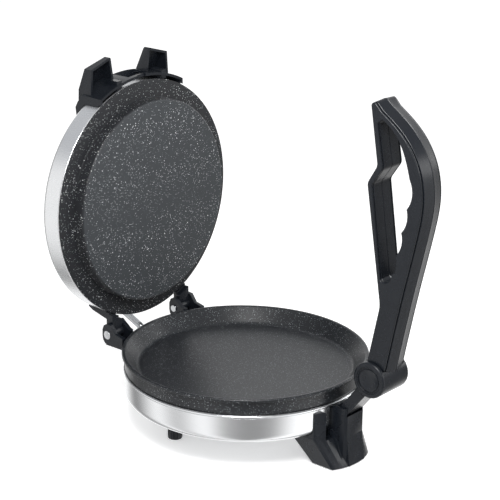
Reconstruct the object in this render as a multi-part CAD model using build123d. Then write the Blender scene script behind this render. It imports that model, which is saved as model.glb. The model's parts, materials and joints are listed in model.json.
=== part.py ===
from build123d import *
from math import asin, atan2, cos, degrees, hypot, radians, sin, sqrt
import os

os.makedirs("parts", exist_ok=True)

# Electric roti maker: a round base drum with a coated pan, a hinged lid with a coated plate, and a
# press lever that stands on the front leg. Millimetres. While the pieces are built the drum axis is Z,
# the table is z = 0, the lever is on the -Y side and the lid hinge on the +Y side. Lid pieces are
# built with the lid shut and are turned open at the end.

LOW = (Align.CENTER, Align.CENTER, Align.MIN)

# clearances
seat_gap = 0.3
joint_gap = 0.5
bore_gap = 0.05

# base drum
drum_radius = 127.0
drum_wall = 0.8
drum_bottom = 33.8
drum_height = 31.9
drum_corner = 10.0
bead_size = 1.1
bead_reach = 0.2
flange_width = 8.0
bottom_land = 27.0
cover_overlap = 8.0
cover_thickness = 1.2
drum_top = drum_bottom + drum_height
bead_z = drum_top - bead_size - 0.2
bead_outside = drum_radius + bead_reach + bead_size
bottom_opening = drum_radius - bottom_land
cover_bottom = drum_bottom - seat_gap - cover_thickness
cover_radius = bottom_opening + cover_overlap

# pan, the lower cooking plate
pan_height = 18.2
pan_rim_overhang = 3.0
pan_rim_land = 3.5
pan_lip = 3.2
pan_lip_slope = 0.6
pan_depth = 16.0
pan_floor_inset = 14.0
pan_floor_thickness = 3.0
pan_skirt = 3.7
rim_radius = drum_radius + pan_rim_overhang
rim_top = drum_top + seat_gap + pan_height
pan_floor_radius = drum_radius - pan_floor_inset
pan_floor_z = rim_top - pan_depth
pan_under_z = pan_floor_z - pan_floor_thickness
lip_under_z = rim_top - pan_lip - pan_lip_slope

# lid
lid_gap = 0.4
lid_inset = 2.5
lid_height = 27.5
lid_corner = 6.0
lid_wall = 0.8
lid_bead = 0.9
plate_edge = 1.6
plate_edge_reach = 0.9
plate_thickness = 3.0
plate_proud = 14.6
plate_step_inset = 18.3
lid_radius = rim_radius - lid_inset
lid_rim_z = rim_top + lid_gap
lid_top = lid_rim_z + lid_height
lid_edge = plate_edge + seat_gap
lid_outside = lid_radius + lid_bead + plate_edge_reach
disc_radius = lid_radius - plate_step_inset
disc_face_z = lid_rim_z - plate_proud

# heating parts, the same in base and lid
element_tube = 3.25
element_inset = 45.0
element_arc = 300
reflector_thickness = 0.9
reflector_margin = 16.0
stud_radius = 3.0
stud_inset = 23.0
element_radius = drum_radius - element_inset
reflector_radius = element_radius + reflector_margin
stud_circle = element_radius - stud_inset
upper_element_z = disc_face_z + plate_thickness + seat_gap + element_tube
upper_reflector_z = upper_element_z + element_tube + seat_gap
lower_element_z = pan_under_z - seat_gap - element_tube
lower_reflector_z = lower_element_z - element_tube - seat_gap - reflector_thickness

# electrical parts
thermostat_radius = 8.0
thermostat_height = 12.0
fuse_radius = 2.0
fuse_length = 16.0
fuse_offset = 28.0
terminal_length = 30.0
terminal_width = 16.0
terminal_height = 11.0
terminal_y = 58.0
terminal_hole = 2.2
terminal_hole_depth = 4.0

# lid hinge
hinge_reach = 10.6
hinge_drop = 1.2
open_angle = 91.5
hinge_pin = 2.5
pin_head = 4.8
pin_head_thickness = 1.3
knuckle_radius = 5.6
knuckle_width = 15.0
knuckle_inside = 46.0
cheek_inner = 5.2
cheek_outer = 4.5
cheek_low = 11.6
cheek_high = 12.5
cheek_back = 7.2
cheek_depth = 22.0
web_top = 7.3
bracket_foot_low = 10.0
bracket_foot_width = 14.0
bracket_foot_depth = 32.0
bracket_screw = 1.8
bracket_screw_head = 3.4
screw_height = 17.0
screw_seat = 3.0
arm_block = 15.5
arm_plate = 2.2
arm_slope = 5.6
arm_plate_reach = 32.0
arm_screw_inset = 26.0
hinge_y = drum_radius + hinge_reach
hinge_z = rim_top - hinge_drop
knuckle_outside = knuckle_inside + knuckle_width
cheek_inside_start = knuckle_inside - joint_gap - cheek_inner
cheek_outside_end = knuckle_outside + joint_gap + cheek_outer
screw_z = drum_bottom + screw_height
bracket_screw_x = cheek_inside_start + bracket_foot_width / 2
bracket_screw_y = sqrt(drum_radius ** 2 - bracket_screw_x ** 2)
arm_screw_x = knuckle_inside + knuckle_width / 2
arm_screw_y = lid_radius - arm_screw_inset

# lever: arm, barrel and handle
barrel_radius = 18.7
barrel_half = 21.5
barrel_wall = 4.4
barrel_round = 2.4
barrel_reach = 48.0
barrel_rise = 22.1
cap_thickness = 3.0
cap_dish = 1.6
cap_land = 1.6
cap_inset = 0.3
cap_bore = 0.9
barrel_pin = 3.0
handle_half = 16.5
crown = 3.2
arm_half = 12.8
arm_thickness = 11.0
arm_spread = 0.6
pivot_pin = 2.5
fold_angle = 62.0
fold_slot_rear = 67.0
slot_ahead = 141.0
slot_side = 0.8
slot_behind = fold_slot_rear - fold_angle
barrel_y = -(drum_radius + barrel_reach)
barrel_z = rim_top + barrel_rise
hub_radius = barrel_radius - barrel_wall - bore_gap

# the handle's side view, in (y, z) measured from the barrel axis
neck_root_outer = (-9.0, 8.6)
neck_root_inner = (4.0, 12.0)
neck_outer = (-15.5, 15.6)
neck_inner = (6.0, 18.4)
crest = [(-31.0, 93.0), (-45.5, 159.0), (-49.8, 190.0), (-42.5, 228.0), (-24.0, 254.0)]
beak_base = (1.0, 272.6)
beak_back = (6.6, 278.4)
beak_tip = (10.4, 279.8)
beak_front = (12.9, 276.4)
waist = (-6.2, 79.0)
shelf = (14.2, 200.0)
notch = (3.2, 219.0)
loop_top = (-1.0, 265.0)
loop_back = [(-14.5, 254.7), (-26.5, 236.5)]
finger_start = (-34.4, 213.0)
top_finger_middle = (-38.0, 199.0)
first_cusp = (-32.4, 183.3)
last_cusp = (-17.6, 110.5)
finger_count = 3
finger_depth = 3.3
loop_floor = (-11.0, 103.9)
loop_corner = (-4.2, 107.5)
loop_shelf = (8.9, 199.0)
loop_notch = (-3.2, 217.0)
loop_front = (4.9, 261.0)

seam_gap = 0.05
handle_screw = 1.6
handle_screw_cover = 4.0
handle_screw_seat = 8.0
handle_screw_head = 3.0
handle_screw_places = [(-10.5, 40.0), (-18.0, 84.0), (4.6, 269.5)]

# front leg
leg_half = 30.6
leg_flare = 7.4
leg_wing = 2.8
leg_toe = 13.2
leg_toe_bulge = 7.0
leg_knee_bulge = 0.5
leg_corner = 2.5
leg_heel = 27.0
leg_wing_top = 60.0
leg_knee = 31.0
leg_back_reach = 38.0
recess_wall = 2.8
recess_depth = 12.0
recess_sill = 1.5
gusset = 2.6
gusset_height = 38.0
gusset_low = 10.0
pad_thickness = 1.5
pad_inset = 2.5
tower_wall = 2.0
tower_top = 64.0
tower_chamfer = 2.6
tower_flare = 4.0
lean_gap = 2.0
pocket_depth = 26.0
pin_cover = 1.0
leg_screw = 1.8
leg_screw_head = 3.5
leg_screw_seat = 16.0
leg_screw_x = 22.0
leg_screw_inset = 17.0
screw_head_height = 2.4
wing_front = -(drum_radius + leg_wing)
pivot_y = wing_front - tower_wall - arm_thickness / 2 - seat_gap
pivot_z = tower_top - 6.5
tower_front = pivot_y - arm_thickness / 2 - seat_gap - tower_wall
tower_half = arm_half + joint_gap + tower_wall
toe_front = wing_front - leg_toe
leg_screw_y = -(drum_radius - leg_screw_inset)
leg_screw_places = [(-leg_screw_x, leg_screw_y), (leg_screw_x, leg_screw_y)]
cover_screw_places = list(PolarLocations(bottom_opening + cover_overlap / 2, 4, start_angle=45))
lean = atan2(pivot_y - barrel_y, barrel_z - pivot_z)
arm_length = hypot(pivot_y - barrel_y, barrel_z - pivot_z)

# small feet, on a circle inside the edge of the bottom cover
foot_radius = 8.5
foot_taper = 0.8
foot_round = 1.0
foot_screw_head = 3.2
foot_screw_seat = 6.0
foot_inset = 26.0
foot_angle = 22.0
foot_rear_inset = 16.0
foot_circle = cover_radius - foot_inset
foot_spot_x = foot_circle * cos(radians(foot_angle))
foot_spot_y = foot_circle * sin(radians(foot_angle))
foot_places = {
    "left": (-foot_spot_x, foot_spot_y),
    "right": (foot_spot_x, foot_spot_y),
    "rear": (0.0, cover_radius - foot_rear_inset),
}

# wire conduit: out of a housing on the lid's back, under its rear wall and down into the base
conduit_radius = 3.8
conduit_x = -10.0
conduit_turn = 66.0
conduit_bend = 14.0
conduit_clear = 5.5
conduit_upper_drop = 0.5
conduit_run = 22.5
conduit_lower_drop = 7.0
conduit_insert = 4.0
conduit_play = 0.3
gland_wall = 2.7
gland_inset = 7.3
gland_length = 16.0
conduit_back = lid_top + conduit_clear

# mains cable inlet, a boss with a hose guard on the drum's side
inlet_angle = 28.0
inlet_rise = 17.0
inlet_boss = 7.5
inlet_boss_length = 3.5
inlet_guard = 5.2
inlet_length = 13.0
inlet_bore = 3.2
inlet_bore_start = 5.0

# front bracket of the lid, with its two lifting ears and a window between them
bracket_air = 3.0
bracket_wall = 2.8
bracket_half = 63.0
bracket_plate = 2.2
bracket_depth = 31.0
bracket_screw_x_side = 42.0
bracket_screw_inset = 17.0
bracket_screw_inset_side = 23.0
window_half = 16.0
window_sill = 5.0
rib_x = 34.0
rib_half = 3.5
latch_from = -7.0
latch_to = 5.0
ear_level = 18.0
ear_inside = 24.0
ear_tip_inside = 29.0
ear_outside = 60.0
ear_tip_outside = 58.0
ear_reach = 27.5
ear_tip_drop = 9.0
ear_height = 18.0
ear_tip_height = 6.5
ear_wall = 2.6
end_wall = 2.6
bracket_outside = lid_outside + bracket_air + bracket_wall
bracket_screw_points = [
    (-bracket_screw_x_side, -(lid_radius - bracket_screw_inset_side)),
    (0.0, -(lid_radius - bracket_screw_inset)),
    (bracket_screw_x_side, -(lid_radius - bracket_screw_inset_side)),
]


def tube_x(radius, x0, x1, y, z):
    # a round bar along X
    length = x1 - x0
    return Pos((x0 + x1) / 2, y, z) * Rot(0, 90, 0) * Cylinder(radius, length)


def tube_z(radius, z0, z1, x=0.0, y=0.0):
    # a round bar along Z
    return Pos(x, y, z0) * Cylinder(radius, z1 - z0, align=LOW)


def plate_x(outline, x0, x1):
    # a flat piece with an outline in (y, z), standing between two x values
    face = make_face(Polyline(*outline, close=True))
    return extrude(Plane.YZ.offset(x0) * face, amount=x1 - x0)


def turned(outline):
    # a turned piece with a half section in (radius, z)
    face = make_face(Polyline(*outline, close=True))
    return revolve(Plane.XZ * face, Axis.Z)


def block(x0, x1, y0, y1, z0, z1):
    return Pos((x0 + x1) / 2, (y0 + y1) / 2, (z0 + z1) / 2) * Box(x1 - x0, y1 - y0, z1 - z0)


def both_sides(piece):
    return [piece, mirror(piece, Plane.YZ)]


def drum_blank(grow, top):
    body = tube_z(drum_radius + grow, drum_bottom - grow, top)
    return fillet(body.edges().group_by(Axis.Z)[0], drum_corner + grow)


def base_envelope(gap):
    # what the drum, its bead and the pan fill, grown by a clearance
    drum = drum_blank(gap, drum_top)
    bead = tube_z(bead_outside + gap, bead_z - bead_size - gap, bead_z + bead_size + gap)
    skirt = tube_z(drum_radius + gap, drum_top - 1, rim_top)
    rim = tube_z(rim_radius + gap, lip_under_z - gap, rim_top + gap)
    return drum + bead + skirt + rim


def lid_envelope(gap):
    # what the shut lid fills, grown by a clearance
    rim = tube_z(lid_outside + gap, lid_rim_z - gap, lid_rim_z + lid_edge + 2 * lid_bead + gap)
    wall = tube_z(lid_radius + gap, lid_rim_z - gap, lid_top + gap)
    wall = fillet(wall.edges().group_by(Axis.Z)[-1], lid_corner)
    return rim + wall


# ---- base ----------------------------------------------------------------------------------------


def base_shell():
    body = drum_blank(0, drum_top) - drum_blank(-drum_wall, drum_top - drum_wall)
    body -= tube_z(drum_radius - flange_width, drum_top - 2 * drum_wall, drum_top + 1)
    body -= tube_z(bottom_opening, drum_bottom - 1, drum_bottom + 2 * drum_wall)
    body += Pos(0, 0, bead_z) * Torus(drum_radius + bead_reach, bead_size)
    for x, y in leg_screw_places:
        body -= tube_z(leg_screw + bore_gap, drum_bottom - 1, drum_bottom + 2 * drum_wall, x, y)
    for place in cover_screw_places:
        body -= place * tube_z(leg_screw + bore_gap, drum_bottom - 1, drum_bottom + 2 * drum_wall)
    for hole in both_sides(bracket_screw_place() * Cylinder(bracket_screw + bore_gap, 10)):
        body -= hole
    return body


def bottom_cover():
    cover = tube_z(cover_radius, cover_bottom, cover_bottom + cover_thickness)
    for x, y in foot_places.values():
        cover -= tube_z(leg_screw + bore_gap, cover_bottom - 1, drum_bottom, x, y)
    for place in cover_screw_places:
        cover -= place * tube_z(leg_screw + bore_gap, cover_bottom - 1, drum_bottom)
    return cover


def cover_screws():
    head = tube_z(leg_screw_head, cover_bottom - 1.8, cover_bottom)
    head = fillet(head.edges().group_by(Axis.Z)[0], 0.8)
    screw = head + tube_z(leg_screw, cover_bottom - 0.5, drum_bottom + 3)
    return [place * screw for place in cover_screw_places]


def lower_plate():
    inner_rim = rim_radius - pan_rim_land
    skirt_z = drum_top + seat_gap
    skirt_inside = drum_radius - pan_skirt
    hollow_z = pan_under_z + 0.5 * pan_depth
    section = [
        (0, pan_under_z),
        (pan_floor_radius + pan_floor_thickness, pan_under_z),
        (skirt_inside, hollow_z),
        (skirt_inside, skirt_z),
        (drum_radius, skirt_z),
        (drum_radius, lip_under_z),
        (rim_radius, rim_top - pan_lip),
        (rim_radius, rim_top),
        (inner_rim, rim_top),
        (pan_floor_radius, pan_floor_z),
        (0, pan_floor_z),
    ]
    body = turned(section)
    rim_edges = body.edges().filter_by_position(Axis.Z, rim_top - 0.01, rim_top + 0.01)
    body = fillet(rim_edges, 1.2)
    corner = body.edges().filter_by_position(Axis.Z, pan_floor_z - 0.01, pan_floor_z + 0.01)
    return fillet(corner, 5.0)


def heating_element(z):
    # a tube bent into an open ring, with its two cold ends turned up or down
    ring_face = Plane.XZ * Pos(element_radius, z) * Circle(element_tube)
    return revolve(ring_face, Axis.Z, revolution_arc=element_arc)


def reflector(z, stud_end):
    # a disc that holds the tube against its plate, on three studs
    disc = tube_z(reflector_radius, z, z + reflector_thickness)
    disc -= tube_z(thermostat_radius + joint_gap, z - 1, z + 2)
    low, high = sorted((stud_end, z + reflector_thickness / 2))
    for place in PolarLocations(stud_circle, 3, start_angle=30):
        disc += place * tube_z(stud_radius, low, high)
    return disc


def thermostat():
    high = pan_under_z - seat_gap
    body = tube_z(thermostat_radius, high - thermostat_height, high)
    return body + tube_z(thermostat_radius / 3, high - thermostat_height - 3, high)


def thermal_fuse():
    z = lower_reflector_z - seat_gap - fuse_radius
    return tube_x(fuse_radius, -fuse_length / 2, fuse_length / 2, fuse_offset, z)


def terminal_block():
    z0 = cover_bottom + cover_thickness
    z1 = z0 + terminal_height
    half_width = terminal_width / 2
    body = block(-terminal_length / 2, terminal_length / 2, terminal_y - half_width, terminal_y + half_width, z0, z1)
    for x in (-terminal_length / 3, 0, terminal_length / 3):
        body -= tube_z(terminal_hole, z1 - terminal_hole_depth, z1 + 1, x, terminal_y)
    return body


def small_foot(x, y):
    high = cover_bottom
    foot = Pos(x, y, 0) * Cone(foot_radius - foot_taper, foot_radius, high, align=LOW)
    foot = fillet(foot.edges().group_by(Axis.Z)[0], foot_round)
    foot -= tube_z(foot_screw_head + joint_gap, -1, foot_screw_seat, x, y)
    return foot - tube_z(leg_screw + bore_gap, 0, high + 1, x, y)


def foot_screw(x, y):
    head = tube_z(foot_screw_head, foot_screw_seat - screw_head_height, foot_screw_seat, x, y)
    shank = tube_z(leg_screw, foot_screw_seat - 1, cover_bottom + cover_thickness + 2, x, y)
    return head + shank


def leg_section(z, half, back_half, front, back, bulge):
    # cross-section of the leg: a front edge that bulges forward, cut corners and straight sides
    start = (half - leg_corner, front)
    end = (leg_corner - half, front)
    sides = Polyline(end, (-half, front + leg_corner), (-back_half, front + 3 * leg_corner), (-back_half, back),
                     (back_half, back), (back_half, front + 3 * leg_corner), (half, front + leg_corner), start)
    edge = ThreePointArc(start, (0, front - bulge), end)
    return Plane.XY.offset(z) * make_face(sides + edge)


def tower():
    # the hollow post in the middle of the leg, which holds the foot of the lever arm
    body = block(-tower_half, tower_half, tower_front, wing_front + 1, pad_thickness, tower_top)
    corners = body.edges().filter_by(Axis.Z).group_by(Axis.Y)[0]
    body = chamfer(corners, tower_chamfer)
    flare = plate_x([(tower_front + 1, pad_thickness), (tower_front - tower_flare, pad_thickness),
                     (tower_front, tower_top / 2), (tower_front + 1, tower_top / 2)],
                    tower_chamfer - tower_half, tower_half - tower_chamfer)
    return body + flare


def front_leg():
    foot_face = leg_section(pad_thickness, leg_half, leg_half, toe_front, toe_front + leg_heel, leg_toe_bulge)
    knee_face = leg_section(leg_knee, leg_half, leg_half + leg_flare, wing_front,
                            wing_front + leg_back_reach, leg_knee_bulge)
    lower = loft([foot_face, knee_face], ruled=True)
    upper = extrude(knee_face, amount=leg_wing_top - leg_knee)
    body = lower + upper
    for piece in both_sides(recess()):
        body -= piece
    body += tower()
    for piece in both_sides(side_gusset()):
        body += piece
    body -= base_envelope(seat_gap)
    body -= tube_z(drum_radius + seat_gap, drum_bottom + drum_corner, rim_top)
    body -= tube_z(cover_radius + seat_gap, cover_bottom - seat_gap, drum_bottom + 5)
    pocket = block(-arm_half - joint_gap, arm_half + joint_gap,
                   pivot_y - arm_thickness / 2 - seat_gap, pivot_y + arm_thickness / 2 + seat_gap,
                   tower_top - pocket_depth, tower_top + 1)
    body -= pocket
    body -= lean_notch()
    body -= tube_x(pivot_pin + bore_gap, pin_cover - tower_half, tower_half + 1, pivot_y, pivot_z)
    for x, y in leg_screw_places:
        body -= tube_z(leg_screw_head + joint_gap, -1, leg_screw_seat, x, y)
        body -= tube_z(leg_screw + bore_gap, 0, drum_bottom + 2, x, y)
    return body


def along_arm(distance, side):
    # a point (y, z) at a distance up the arm, and to its outer (negative) or inner side
    y = pivot_y - distance * sin(lean) + side * cos(lean)
    z = pivot_z + distance * cos(lean) + side * sin(lean)
    return (y, z)


def lean_notch():
    # bevel on top of the tower's front wall, under the leaning arm
    side = -arm_thickness / 2 - lean_gap
    outline = [along_arm(0, side), along_arm(arm_length, side), along_arm(arm_length, 0), along_arm(0, 0)]
    return plate_x(outline, -arm_half - joint_gap, arm_half + joint_gap)


def recess():
    # pocket in the front of the leg between the tower and the outer wall, above the sloping toe
    return block(tower_half - 1, leg_half - recess_wall, wing_front - 1, wing_front + recess_depth,
                 leg_knee - recess_sill, leg_wing_top + 1)


def side_gusset():
    # thin rib that runs down the side of the tower onto the toe
    front = tower_front + tower_chamfer
    outline = [(wing_front + 2, gusset_height), (wing_front - 2, gusset_height), (front, gusset_low),
               (front, pad_thickness), (wing_front + 2, pad_thickness)]
    return plate_x(outline, tower_half - 1, tower_half + gusset)


def leg_pad():
    half = leg_half - pad_inset
    return block(-half, half, toe_front + pad_inset, toe_front + leg_heel - pad_inset, 0, pad_thickness)


def leg_screws():
    screws = []
    for x, y in leg_screw_places:
        head = tube_z(leg_screw_head, leg_screw_seat - screw_head_height, leg_screw_seat, x, y)
        shank = tube_z(leg_screw, leg_screw_seat - 1, drum_bottom + 4, x, y)
        screws.append(head + shank)
    return screws


def pivot_pin_bar():
    return tube_x(pivot_pin, pin_cover - tower_half + 0.1, tower_half - 0.2, pivot_y, pivot_z)


# ---- base side of the lid hinge ------------------------------------------------------------------


def cheek_outline(slope_start):
    # rounded plate around the hinge pin; its top slopes down towards the pan rim
    return [
        (hinge_y - cheek_depth, hinge_z - cheek_low),
        (hinge_y - 1, hinge_z - cheek_low),
        (hinge_y + 3.4, hinge_z - 10.2),
        (hinge_y + 6.2, hinge_z - 6.8),
        (hinge_y + cheek_back, hinge_z - 2.5),
        (hinge_y + cheek_back, hinge_z + 5),
        (hinge_y + 5.2, hinge_z + 10),
        (hinge_y + 1, hinge_z + cheek_high),
        (hinge_y + slope_start, hinge_z + cheek_high - 0.6),
        (hinge_y - 11, hinge_z + 3.5),
        (hinge_y - cheek_depth, hinge_z + 1.2),
    ]


def base_hinge():
    outer = plate_x(cheek_outline(-4.8), cheek_outside_end - cheek_outer, cheek_outside_end)
    inner = plate_x(cheek_outline(0.5), cheek_inside_start, cheek_inside_start + cheek_inner)
    web = plate_x([(hinge_y - cheek_depth, hinge_z - cheek_low), (hinge_y + 2, hinge_z - cheek_low),
                   (hinge_y + 2, hinge_z - web_top), (hinge_y - cheek_depth, hinge_z - web_top)],
                  cheek_inside_start, cheek_outside_end)
    foot_low = drum_bottom + bracket_foot_low
    back = hinge_y - bracket_foot_depth
    foot = plate_x([(back, foot_low), (hinge_y - 20, foot_low), (hinge_y - 14, drum_top - 6),
                    (hinge_y - 6, hinge_z - cheek_low), (hinge_y - 6, hinge_z - web_top), (back, hinge_z - web_top)],
                   cheek_inside_start, cheek_inside_start + bracket_foot_width)
    body = outer + inner + web + foot
    body -= base_envelope(seat_gap)
    body -= tube_z(rim_radius + seat_gap, rim_top - pan_lip, rim_top + 20)
    body -= tube_x(hinge_pin + bore_gap, cheek_inside_start - 1, cheek_outside_end + 1, hinge_y, hinge_z)
    body -= bracket_screw_place() * Cylinder(bracket_screw + bore_gap, 60)
    return body - bracket_screw_place() * Pos(0, 0, screw_seat) * Cylinder(4.0, 30, align=LOW)


def bracket_screw_place():
    # on the drum wall behind the foot of the hinge bracket, pointing outwards
    angle = degrees(asin(bracket_screw_x / drum_radius))
    return Pos(bracket_screw_x, bracket_screw_y, screw_z) * Rot(0, 0, -angle) * Rot(-90, 0, 0)


def hinge_screws():
    shank = Pos(0, 0, -3) * Cylinder(bracket_screw, screw_seat + 4, align=LOW)
    head = Pos(0, 0, screw_seat) * Cylinder(bracket_screw_head, 2.0, align=LOW)
    head = fillet(head.edges().group_by(Axis.Z)[-1], 0.7)
    return both_sides(bracket_screw_place() * (shank + head))


def hinge_pin_bar():
    shaft = tube_x(hinge_pin, cheek_inside_start - 1.5, cheek_outside_end + 0.3, hinge_y, hinge_z)
    head = tube_x(pin_head, cheek_outside_end + 0.1, cheek_outside_end + 0.1 + pin_head_thickness,
                  hinge_y, hinge_z)
    head = fillet(head.edges().group_by(Axis.X)[-1], 0.5)
    tail = tube_x(hinge_pin + 1.2, cheek_inside_start - 1.5, cheek_inside_start - 0.1, hinge_y, hinge_z)
    return shaft + head + tail


# ---- lid -----------------------------------------------------------------------------------------


def lid_shell():
    outer = tube_z(lid_radius, lid_rim_z + lid_edge, lid_top)
    outer = fillet(outer.edges().group_by(Axis.Z)[-1], lid_corner)
    inner = tube_z(lid_radius - lid_wall, lid_rim_z - 1, lid_top - lid_wall)
    inner = fillet(inner.edges().group_by(Axis.Z)[-1], lid_corner - lid_wall)
    body = outer - inner
    flange_z = lid_rim_z + plate_thickness + seat_gap
    flange = tube_z(lid_radius - 0.2, flange_z, flange_z + lid_wall)
    flange -= tube_z(lid_radius - flange_width, flange_z - 1, flange_z + 3)
    body += flange
    body += Pos(0, 0, lid_rim_z + lid_edge + lid_bead) * Torus(lid_radius, lid_bead)
    for x, y in bracket_screw_points:
        body -= tube_z(bracket_screw + joint_gap / 2, lid_top - 3, lid_top + 1, x, y)
    for x in (-arm_screw_x, arm_screw_x):
        body -= tube_z(bracket_screw + joint_gap / 2, lid_top - 3, lid_top + 1, x, arm_screw_y)
    return body


def upper_plate():
    edge = lid_radius - lid_wall - lid_bead - seat_gap
    section = [
        (0, disc_face_z),
        (disc_radius, disc_face_z),
        (disc_radius, lid_rim_z),
        (lid_radius + plate_edge_reach, lid_rim_z),
        (lid_radius + plate_edge_reach, lid_rim_z + plate_edge),
        (edge, lid_rim_z + plate_edge),
        (edge, lid_rim_z + plate_thickness),
        (disc_radius - plate_thickness, lid_rim_z + plate_thickness),
        (disc_radius - plate_thickness, disc_face_z + plate_thickness),
        (0, disc_face_z + plate_thickness),
    ]
    body = turned(section)
    face_edge = body.edges().group_by(Axis.Z)[0]
    return fillet(face_edge, 2.6)


def upper_fuse():
    z = upper_reflector_z + reflector_thickness + seat_gap + fuse_radius
    return tube_x(fuse_radius, -fuse_length / 2, fuse_length / 2, fuse_offset, z)


def ear():
    # hollow horn on the right side of the bracket; it opens downwards when the lid is shut
    root = bracket_outside - 8
    base_y_in = -sqrt(root ** 2 - ear_inside ** 2)
    base_y_out = -sqrt(root ** 2 - ear_outside ** 2)
    tip_y_in = -(lid_radius + ear_reach + 1.5)
    tip_y_out = tip_y_in + ear_tip_drop
    z0 = lid_rim_z + ear_level
    z1 = z0 + ear_height
    plan = make_face(Polyline((ear_inside, base_y_in), (ear_tip_inside, tip_y_in), (ear_tip_outside, tip_y_out),
                              (ear_outside, base_y_out), close=True))
    body = extrude(Plane.XY.offset(z0) * plan, amount=ear_height)
    inner_plan = offset(plan, amount=-ear_wall)
    slope = plate_x([(tip_y_in - 5, z0 + ear_tip_height), (tip_y_in, z0 + ear_tip_height),
                     (base_y_in, z1), (base_y_in, z1 + 10), (tip_y_in - 5, z1 + 10)], 0, bracket_outside)
    body -= slope
    corners = body.edges().filter_by(Axis.Z).group_by(Axis.Y)[0]
    body = fillet(corners, 2.0)
    hollow = extrude(Plane.XY.offset(z0 - 1) * inner_plan, amount=ear_height)
    hollow -= Pos(0, 0, -ear_wall) * slope
    return body, hollow


def front_bracket():
    low = lid_rim_z + seat_gap
    plate_z = lid_top + seat_gap
    ring = tube_z(bracket_outside, low, plate_z + bracket_plate)
    ring = fillet(ring.edges().group_by(Axis.Z)[-1], 2.0)
    hollow = tube_z(bracket_outside - bracket_wall, low - 1, plate_z)
    body = ring - hollow
    far = bracket_outside + 1
    body -= block(-far, far, -bracket_outside + bracket_depth, far, low - 1, plate_z + far)
    body -= block(-far, -bracket_half, -far, far, low - 1, plate_z + far)
    body -= block(bracket_half, far, -far, far, low - 1, plate_z + far)
    side = -sqrt(bracket_outside ** 2 - bracket_half ** 2)
    end = plate_x([(side, low), (side + 14, low), (side + 22, plate_z - 1), (side + 21, plate_z + 9),
                   (side + 13, plate_z + 10), (side + 6, plate_z + 6), (side - 1, low + ear_level)],
                  bracket_half - end_wall, bracket_half)
    body += both_sides(end)
    body -= block(-window_half, window_half, -bracket_outside - 1, -lid_outside, low + window_sill, plate_z)
    for x in (-rib_x, rib_x):
        body += block(x - rib_half, x + rib_half, -bracket_outside + 1, -lid_radius + 8, low + 1, plate_z + 1)
    shell, hollow = ear()
    for piece in both_sides(shell):
        body += piece
    keep = lid_envelope(seat_gap)
    for piece in both_sides(hollow):
        body -= piece - tube_z(bracket_outside, low - 1, plate_z + 20)
    body -= keep
    body -= block(latch_from, latch_to, -bracket_outside - 1, -bracket_outside + bracket_wall + 1, low - 1, low + 2)
    for x, y in bracket_screw_points:
        body -= tube_z(bracket_screw + bore_gap, plate_z - 1, plate_z + 20, x, y)
    return body


def top_screw(x, y, seat):
    head = tube_z(bracket_screw_head, seat, seat + 2, x, y)
    head = fillet(head.edges().group_by(Axis.Z)[-1], 0.8)
    return head + tube_z(bracket_screw, lid_top - 4, seat + 1, x, y)


def bracket_screws():
    seat = lid_top + seat_gap + bracket_plate + 0.05
    return [top_screw(x, y, seat) for x, y in bracket_screw_points]


def lid_hinge():
    # knuckle, arm and mounting plate of one side of the lid hinge, lid shut
    top = lid_top + seat_gap + arm_plate
    x0, x1 = knuckle_inside, knuckle_outside
    y1 = hinge_y - arm_block
    outline = [
        (hinge_y, hinge_z - 3.4),
        (hinge_y, hinge_z + 5.4),
        (y1, hinge_z + 5.4),
        (y1 - arm_slope, top - 6),
        (y1 - arm_slope - 3.5, top),
        (lid_radius - arm_plate_reach, top),
        (lid_radius - arm_plate_reach, lid_top),
        (hinge_y - 30, lid_rim_z),
        (hinge_y - 30, hinge_z - 3.4),
    ]
    body = plate_x(outline, x0, x1) + tube_x(knuckle_radius, x0, x1, hinge_y, hinge_z)
    body += block(x0, x1, hinge_y, hinge_y + 7.0, hinge_z - 1.5, hinge_z + 1.5)
    body -= lid_envelope(seat_gap)
    body -= tube_z(rim_radius + 1.5, 0, lid_rim_z)
    body -= tube_x(hinge_pin + bore_gap, x0 - 1, x1 + 1, hinge_y, hinge_z)
    return body - tube_z(bracket_screw + bore_gap, lid_top, top + 1, arm_screw_x, arm_screw_y)


def arm_screws():
    seat = lid_top + seat_gap + arm_plate + 0.05
    return both_sides(top_screw(arm_screw_x, arm_screw_y, seat))


# ---- conduit and its two glands ------------------------------------------------------------------


def opened(piece):
    return Pos(0, hinge_y, hinge_z) * Rot(-open_angle, 0, 0) * Pos(0, -hinge_y, -hinge_z) * piece


def open_point(y, z):
    # where a point of the shut lid lies when the lid is open
    turn = radians(open_angle)
    dy = y - hinge_y
    dz = z - hinge_z
    return (hinge_y + dy * cos(turn) + dz * sin(turn), hinge_z - dy * sin(turn) + dz * cos(turn))


def moved(point, step, length=1.0):
    return (point[0] + length * step[0], point[1] + length * step[1])


def conduit_corners():
    # ends of the straight stretches, as (y, z), from the lid down to the base
    turn = radians(conduit_turn)
    run_direction = (-sin(turn), -cos(turn))
    bend_step = (-conduit_bend * (1 - cos(turn)), -conduit_bend * sin(turn))
    conduit_mouth = open_point(lid_radius - gland_inset, conduit_back)
    top = moved(conduit_mouth, (0, 1), conduit_insert - 0.2)
    bend_1 = moved(conduit_mouth, (0, -1), conduit_upper_drop)
    bend_1_end = moved(bend_1, bend_step)
    bend_2 = moved(bend_1_end, run_direction, conduit_run)
    bend_2_end = moved(bend_2, bend_step)
    low = moved(bend_2_end, (0, -1), conduit_lower_drop)
    return top, bend_1, bend_1_end, bend_2, bend_2_end, low


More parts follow.
